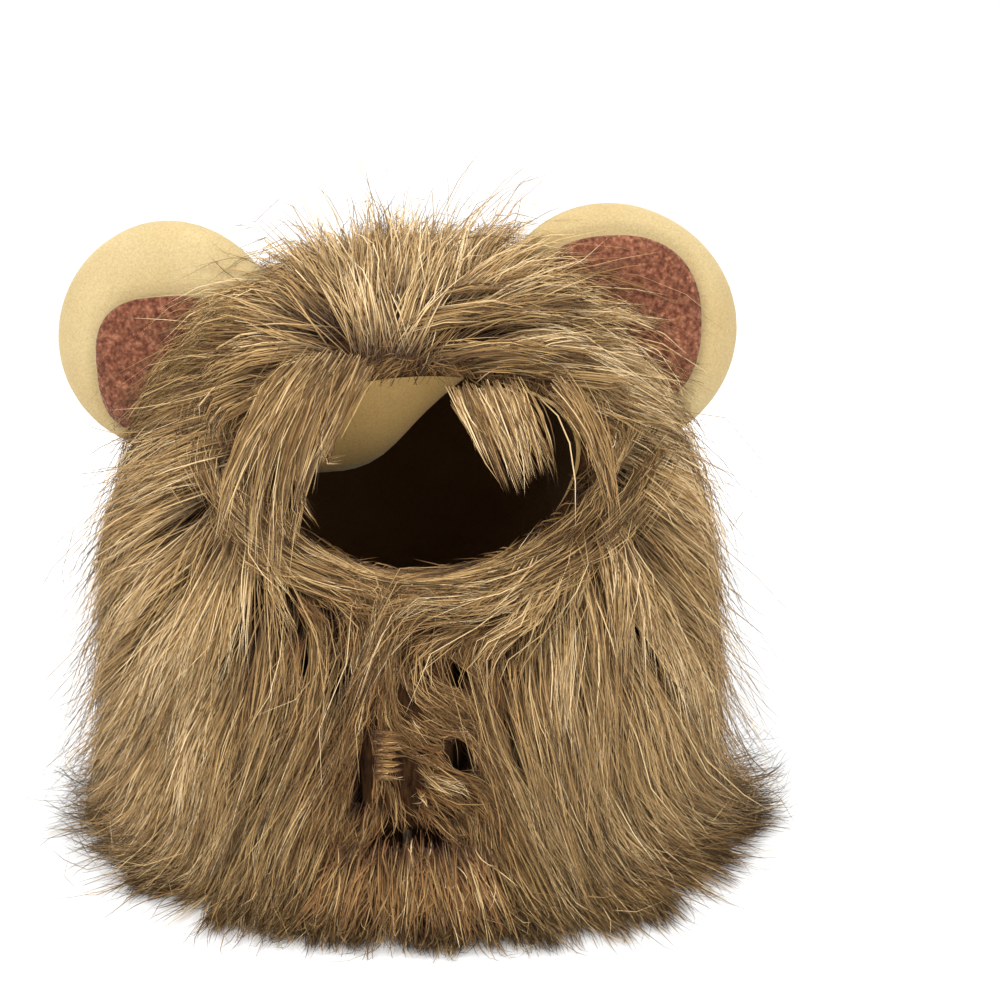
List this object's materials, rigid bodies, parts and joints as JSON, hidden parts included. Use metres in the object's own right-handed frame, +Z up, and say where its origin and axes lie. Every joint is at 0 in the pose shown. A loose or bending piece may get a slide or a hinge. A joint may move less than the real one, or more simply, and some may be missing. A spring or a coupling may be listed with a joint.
{
  "type": "pet lion mane wig",
  "caption": "Long-fur lion mane hood for a small pet, standing on its hem, with stuffed plush ears, an oval face opening, a cream lining and a closing flap under the chin.",
  "frame": {"origin": "on the floor, at the bottom centre of the bounding box", "axes": "+Z up, -Y to the front (the face opening and the chin flap), +X to the side of the picture's right ear"},
  "size_m": [0.2192, 0.1912, 0.2104],
  "materials": {
    "fur": "long faux fur, rust-brown at the roots, golden tan, dark tips",
    "flap_fur": "short matted faux fur",
    "cream_plush": "short cream-yellow plush",
    "lining_plush": "cream short-pile lining",
    "brown_fleece": "mottled reddish-brown fleece",
    "tape": "dark hook-and-loop tape"
  },
  "bodies": {
    "root": {"hood_lining": "lining_plush", "fur_mane": "fur", "chin_flap": "flap_fur", "closure_tape": "tape", "left_ear": "cream_plush", "right_ear": "cream_plush", "left_ear_inner": "brown_fleece", "right_ear_inner": "brown_fleece"}
  },
  "joints": []
}
